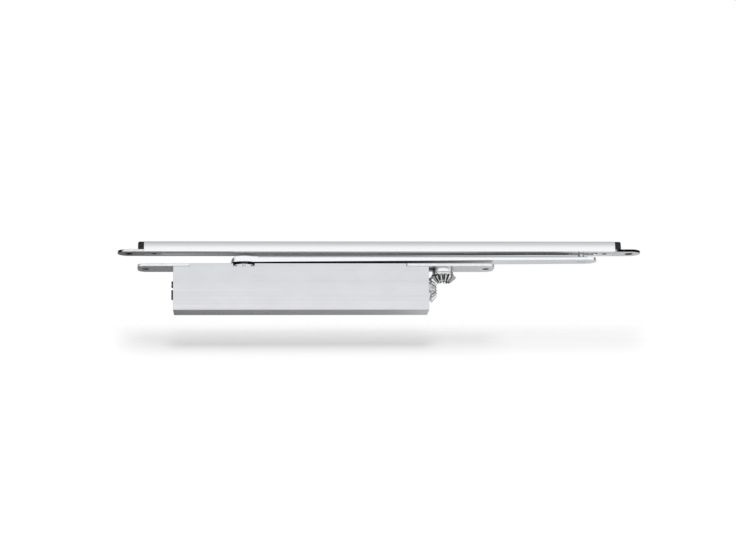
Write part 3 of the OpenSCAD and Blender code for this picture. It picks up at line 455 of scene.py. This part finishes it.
# How open a gap between teeth or turns is, from all black with painted shade to bare
TOOTH_SHADE = (0.50, 0.85)
FAINT_TOOTH_SHADE = (0.15, 0.45)


def machined_metal(name, dark, light, smooth, rough, oil=TOOTH_SHADE):
    """Turned or cut metal, bright on its faces and black with painted shade in its gaps."""
    def colour(tree):
        return between(tree, even_grain(tree, MOTTLE_WAVES), dark, light)

    def roughness(tree):
        return span(tree, grain(tree, TURNED_WAVES, detail=6.0), smooth, rough)

    def relief(tree):
        return grain(tree, TURNED_RELIEF_WAVES, detail=5.0), TURNED_DEPTH

    def between_teeth(tree):
        return openness(tree, TOOTH_REACH, *oil)

    return finish(name, 1.0, colour, roughness, relief, [between_teeth])


# Blackened steel

BLACK_WAVES = 600.0
BLACK_ROUGH_WAVES = 800.0
BLACK_RELIEF_WAVES = 1500.0
BLACK_DEPTH = 0.01 * MM
BLACK_EDGE = 0.2 * MM


def blackened_steel(name, dark, light, edge, smooth, rough, **constants):
    """Black steel with a trace of bright metal along its edges."""
    def colour(tree):
        mottle = between(tree, even_grain(tree, BLACK_WAVES), dark, light)
        return between(tree, worn_edge(tree, BLACK_EDGE), mottle, edge)

    def roughness(tree):
        return span(tree, even_grain(tree, BLACK_ROUGH_WAVES), smooth, rough)

    def relief(tree):
        return even_grain(tree, BLACK_RELIEF_WAVES), BLACK_DEPTH

    return finish(name, 0.0, colour, roughness, relief, **constants)


# Plastic and rubber

FLOW_WAVES = (60.0, 200.0, 200.0)
PLASTIC_WAVES = 500.0
SPARK_WAVES = 2200.0
CREVICE_REACH = 1.5 * MM
CREVICE_SHADE = 0.6


def moulded_plastic(name, dark, light, smooth, rough, depth, **constants):
    """Moulded plastic or rubber with a fine spark-eroded grain and painted shade in its crevices."""
    crevice = [CREVICE_SHADE * level for level in dark]

    def colour(tree):
        flow = between(tree, grain(tree, FLOW_WAVES), dark, light)
        return between(tree, openness(tree, CREVICE_REACH, 0.0, 1.0), crevice, flow)

    def roughness(tree):
        return span(tree, even_grain(tree, PLASTIC_WAVES), smooth, rough)

    def relief(tree):
        return even_grain(tree, SPARK_WAVES, detail=3.0), depth

    return finish(name, 0.0, colour, roughness, relief, **constants)


# Finishes by slot

FINISHES = {
    "satin_aluminium": (brushed_metal, dict(
        dark=(0.64, 0.65, 0.68), light=(0.81, 0.82, 0.85), smooth=0.18, rough=0.28)),
    "rail_aluminium": (drawn_rail, dict(
        dark=(0.935, 0.945, 0.97), light=(0.97, 0.98, 1.0), smooth=0.14, rough=0.22)),
    "arm_steel": (plated_arm, dict(
        dark=(0.925, 0.935, 0.96), light=(0.965, 0.975, 1.0), smooth=0.16, rough=0.26)),
    "galvanised_steel": (zinc_metal, dict(
        dark=(0.86, 0.875, 0.905), light=(0.97, 0.98, 1.0), smooth=0.24, rough=0.42,
        cells=650.0, depth=0.055 * MM, gaps=[holes, corners, hole_rings("leaf_screws", EAR_RING)])),
    "zinc_steel": (zinc_metal, dict(
        dark=(0.72, 0.73, 0.75), light=(0.90, 0.905, 0.915), smooth=0.18, rough=0.34,
        cells=1100.0, depth=0.006 * MM, gaps=[slits])),
    "plated_zinc": (zinc_metal, dict(
        dark=(0.71, 0.725, 0.75), light=(0.92, 0.93, 0.955), smooth=0.14, rough=0.30,
        cells=900.0, depth=0.02 * MM, gaps=[holes, tab_tip_shade, hole_rings("frame_screws", TAB_RING)])),
    "bright_steel": (machined_metal, dict(
        dark=(0.70, 0.705, 0.715), light=(0.84, 0.845, 0.85), smooth=0.14, rough=0.28)),
    "gear_steel": (machined_metal, dict(
        dark=(0.84, 0.845, 0.855), light=(0.94, 0.945, 0.95), smooth=0.10, rough=0.22)),
    "clean_gear_steel": (machined_metal, dict(
        dark=(0.88, 0.885, 0.89), light=(0.96, 0.965, 0.97), smooth=0.16, rough=0.30, oil=FAINT_TOOTH_SHADE)),
    "piston_steel": (machined_metal, dict(
        dark=(0.42, 0.42, 0.43), light=(0.58, 0.58, 0.58), smooth=0.22, rough=0.38)),
    "spring_steel": (machined_metal, dict(
        dark=(0.16, 0.16, 0.17), light=(0.30, 0.30, 0.30), smooth=0.24, rough=0.40)),
    "bronze": (machined_metal, dict(
        dark=(0.50, 0.33, 0.13), light=(0.68, 0.48, 0.22), smooth=0.30, rough=0.48)),
    "black_oxide": (blackened_steel, dict(
        dark=(0.010, 0.010, 0.011), light=(0.024, 0.024, 0.025), edge=(0.11, 0.11, 0.108),
        smooth=0.42, rough=0.62, Specular_IOR_Level=0.25)),
    "seal_rubber": (moulded_plastic, dict(
        dark=(0.010, 0.010, 0.011), light=(0.022, 0.022, 0.023), smooth=0.50, rough=0.70,
        depth=0.01 * MM)),
    "black_plastic": (moulded_plastic, dict(
        dark=(0.010, 0.010, 0.012), light=(0.026, 0.026, 0.029), smooth=0.40, rough=0.56,
        depth=0.015 * MM, Specular_IOR_Level=0.35)),
    "white_plastic": (moulded_plastic, dict(
        dark=(0.82, 0.82, 0.80), light=(0.90, 0.90, 0.885), smooth=0.32, rough=0.46,
        depth=0.006 * MM)),
}
# Nodes that don't have the finish of their slot in the record
OWN_FINISHES = {"drive_gear": "clean_gear_steel"}


def dress_nodes():
    """Gives every node its own finish, or that of its slot in the record."""
    finishes = {name: maker(name, **settings) for name, (maker, settings) in FINISHES.items()}
    for part in frame["record"]["subparts"]:
        materials = nodes[part["node"]].data.materials
        materials.clear()
        materials.append(finishes[OWN_FINISHES.get(part["node"], part["material_slot"])])


# Rounded edges

# Width of the rounding, and the nodes that have it
EDGES = (
    (0.3 * MM, ("housing", "left_ear", "right_ear", "rail_end_left", "rail_end_right",
                "end_cap_left", "end_cap_right", "arm")),
    (0.25 * MM, ("closing_speed_valve", "latch_speed_valve", "arm_screw")),
    (0.2 * MM, ("rail", "spindle_gland", "slider_pin")),
    (0.15 * MM, ("ear_screws", "clamp_screws")),
)
SHARP_ANGLE = math.radians(32)
FLAT_ANGLE = math.radians(0.2)
SPLIT_GAP = 0.002 * MM
EDGE_SEGMENTS = 3


def round_edges(piece, width):
    """Rounds a piece's sharp edges, once its split vertices and flat triangles are joined.

    The shading then follows the piece's larger faces.
    """
    weld = piece.modifiers.new("weld", "WELD")
    weld.merge_threshold = SPLIT_GAP
    flat = piece.modifiers.new("flat_faces", "DECIMATE")
    flat.decimate_type = "DISSOLVE"
    flat.angle_limit = FLAT_ANGLE
    bevel = piece.modifiers.new("round_edges", "BEVEL")
    bevel.width = width
    bevel.segments = EDGE_SEGMENTS
    bevel.limit_method = "ANGLE"
    bevel.angle_limit = SHARP_ANGLE
    bevel.use_clamp_overlap = False
    shading = piece.modifiers.new("even_shading", "WEIGHTED_NORMAL")
    shading.mode = "FACE_AREA"
    for polygon in piece.data.polygons:
        polygon.use_smooth = True


def round_all_edges():
    """Rounds the edges of the nodes that show them."""
    for width, names in EDGES:
        for name in names:
            round_edges(nodes[name], width)


# Studio

def seen_directly(tree):
    """1 for rays from the camera and for mirrored and transmitted ones, 0 for diffuse light."""
    path = add(tree, "ShaderNodeLightPath").outputs
    rays = (path["Is Camera Ray"], path["Is Glossy Ray"], path["Is Transmission Ray"])
    return combine(tree, "MAXIMUM", *rays)


WHITE = (1.0, 1.0, 1.0, 1.0)
AMBIENT = 0.55
# Brightness that mirrored rays see, by the height of their direction: -1 is straight down, 1 straight up
FRONT_SKY = ((-1.0, 0.30), (-0.30, 0.40), (-0.06, 1.0), (0.41, 1.0), (0.55, 0.52), (0.64, 0.36),
             (1.0, 0.25))
BACK_SKY = ((-1.0, 1.0), (0.04, 1.0), (0.70, 0.80), (1.0, 0.25))
# The floor behind the closer, from left to right
BACK_FLOOR = ((-1.0, 0.03), (-0.060, 0.06), (-0.053, 0.22), (0.071, 0.30), (0.079, 0.74),
              (0.10, 0.74), (0.115, 0.58), (1.0, 0.56))
# Height of a direction behind, from floor to sky
HORIZON = (0.0, 0.10)
# How far a direction behind points left or right where the sides grow dark, and how dark they get
SIDES = (0.55, 0.95)
SIDE_LEVEL = 0.2
# How far a direction points to the back, from front sky to back sky
FRONT_TO_BACK = (-0.2, 0.2)


def sky_ramp(tree, direction, stops):
    """Brightness along a list of places from -1 to 1 and levels."""
    ramp = add(tree, "ShaderNodeValToRGB", {"Fac": rise(tree, direction, (-1.0, 1.0))})
    marks = ramp.color_ramp.elements
    for _ in stops[2:]:
        marks.new(0.5)
    for mark, (place, level) in zip(marks, stops):
        mark.position = (place + 1.0) / 2.0
        mark.color = (level, level, level, 1.0)
    return ramp.outputs["Color"]


def studio_sky(tree):
    """What mirrored rays see: a bright front, and behind it dark sides and a floor, darker to the left."""
    direction = axes(tree, add(tree, "ShaderNodeTexCoord").outputs["Generated"])
    front = sky_ramp(tree, direction["Z"], FRONT_SKY)
    floor = sky_ramp(tree, direction["X"], BACK_FLOOR)
    above = rise(tree, direction["Z"], HORIZON)
    sky = blend_levels(tree, above, floor, sky_ramp(tree, direction["Z"], BACK_SKY))
    sides = fall(tree, magnitude(tree, direction["X"]), SIDES, SIDE_LEVEL)
    back = combine(tree, "MULTIPLY", sky, sides)
    behind = rise(tree, direction["Y"], FRONT_TO_BACK)
    return blend_levels(tree, behind, front, back)


def make_world():
    """White behind the closer and soft light all round."""
    world = bpy.data.worlds.new("studio")
    world.use_nodes = True
    tree = world.node_tree
    background = tree.nodes["Background"].inputs
    background["Color"].default_value = WHITE
    camera_ray = add(tree, "ShaderNodeLightPath").outputs["Is Camera Ray"]
    sky = combine(tree, "MAXIMUM", studio_sky(tree), camera_ray)
    strength = blend_levels(tree, seen_directly(tree), AMBIENT, sky)
    tree.links.new(strength, background["Strength"])
    bpy.context.scene.world = world


FLOOR_DROP = 30 * MM
FLOOR_SLOPE = math.radians(45)
# Places along Y: its front edge, where it starts to fade, and its back edge
FLOOR_FRONT = -1.2
FLOOR_FADE = -0.004
FLOOR_BACK = 0.024
FLOOR_HALF_WIDTH = 1.6
FLOOR_COLOUR = (0.8, 0.8, 0.8, 1.0)
FLOOR_GLOW = 0.25


def floor_material():
    """Pale and matt, seen from above only, and fading out towards its back edge."""
    material = bpy.data.materials.new("floor")
    material.use_nodes = True
    tree = material.node_tree
    tree.nodes.clear()
    matt = add(tree, "ShaderNodeBsdfDiffuse", {"Color": FLOOR_COLOUR}).outputs["BSDF"]
    glow_strength = rise(tree, seen_directly(tree), (0.0, 1.0), FLOOR_GLOW)
    glow = add(tree, "ShaderNodeEmission", {"Strength": glow_strength}).outputs["Emission"]
    top = add(tree, "ShaderNodeAddShader", {0: matt, 1: glow}).outputs["Shader"]
    clear = add(tree, "ShaderNodeBsdfTransparent").outputs["BSDF"]
    fade = rise(tree, place_on(tree)["Y"], (FLOOR_FADE, FLOOR_BACK))
    below = add(tree, "ShaderNodeNewGeometry").outputs["Backfacing"]
    gone = combine(tree, "MAXIMUM", fade, below)
    surface = add(tree, "ShaderNodeMixShader", {0: gone, 1: top, 2: clear}).outputs["Shader"]
    add(tree, "ShaderNodeOutputMaterial", {"Surface": surface})
    return material


def make_floor():
    """A pale floor that slopes up under the closer, because the camera looks up at it from below."""
    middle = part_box("housing")[0].z - FLOOR_DROP
    rise_per_metre = math.tan(FLOOR_SLOPE)
    outline = [
        (side * FLOOR_HALF_WIDTH, y, middle + rise_per_metre * y)
        for side, y in ((-1, FLOOR_FRONT), (1, FLOOR_FRONT), (1, FLOOR_BACK), (-1, FLOOR_BACK))
    ]
    mesh = bpy.data.meshes.new("floor")
    mesh.from_pydata(outline, [], [(0, 1, 2, 3)])
    mesh.materials.append(floor_material())
    floor = bpy.data.objects.new("floor", mesh)
    bpy.context.scene.collection.objects.link(floor)


def look_at(place, target):
    """A matrix at a place, facing a target, with the +X direction level in its view."""
    ahead = (Vector(target) - Vector(place)).normalized()
    up = Vector((1, 0, 0)).cross(ahead).normalized()
    right = ahead.cross(up)
    turn = Matrix((right, up, -ahead)).transposed()
    return Matrix.Translation(place) @ turn.to_4x4()


LAMP_PLACE = (0.05, -0.15, 2.5)
LAMP_TARGET = (0.05, 0.0, 0.0)
LAMP_SIZE = (1.0, 1.4)
LAMP_WATTS = 52.0


def make_lamp():
    """One soft box overhead. Mirrored rays see the sky in its place."""
    lamp = bpy.data.lights.new("soft_box", "AREA")
    lamp.shape = "RECTANGLE"
    lamp.size, lamp.size_y = LAMP_SIZE
    lamp.energy = LAMP_WATTS
    holder = bpy.data.objects.new("soft_box", lamp)
    holder.matrix_world = look_at(LAMP_PLACE, LAMP_TARGET)
    holder.visible_glossy = False
    bpy.context.scene.collection.objects.link(holder)


CAMERA_PLACE = (-60 * MM, -2232 * MM, -445 * MM)
CAMERA_TARGET = (53.9 * MM, 0.0, -7.4 * MM)
# In millimetres, as Blender takes them
CAMERA_LENS = 106.6
CAMERA_SENSOR = 36.0


def make_camera():
    """A long lens in front of the closer and a little below it."""
    camera = bpy.data.cameras.new("camera")
    camera.sensor_width = CAMERA_SENSOR
    camera.lens = CAMERA_LENS
    holder = bpy.data.objects.new("camera", camera)
    holder.matrix_world = look_at(CAMERA_PLACE, CAMERA_TARGET)
    bpy.context.scene.collection.objects.link(holder)
    bpy.context.scene.camera = holder


dress_nodes()
round_all_edges()
make_world()
make_floor()
make_lamp()
make_camera()
bpy.context.scene.view_settings.view_transform = "Standard"
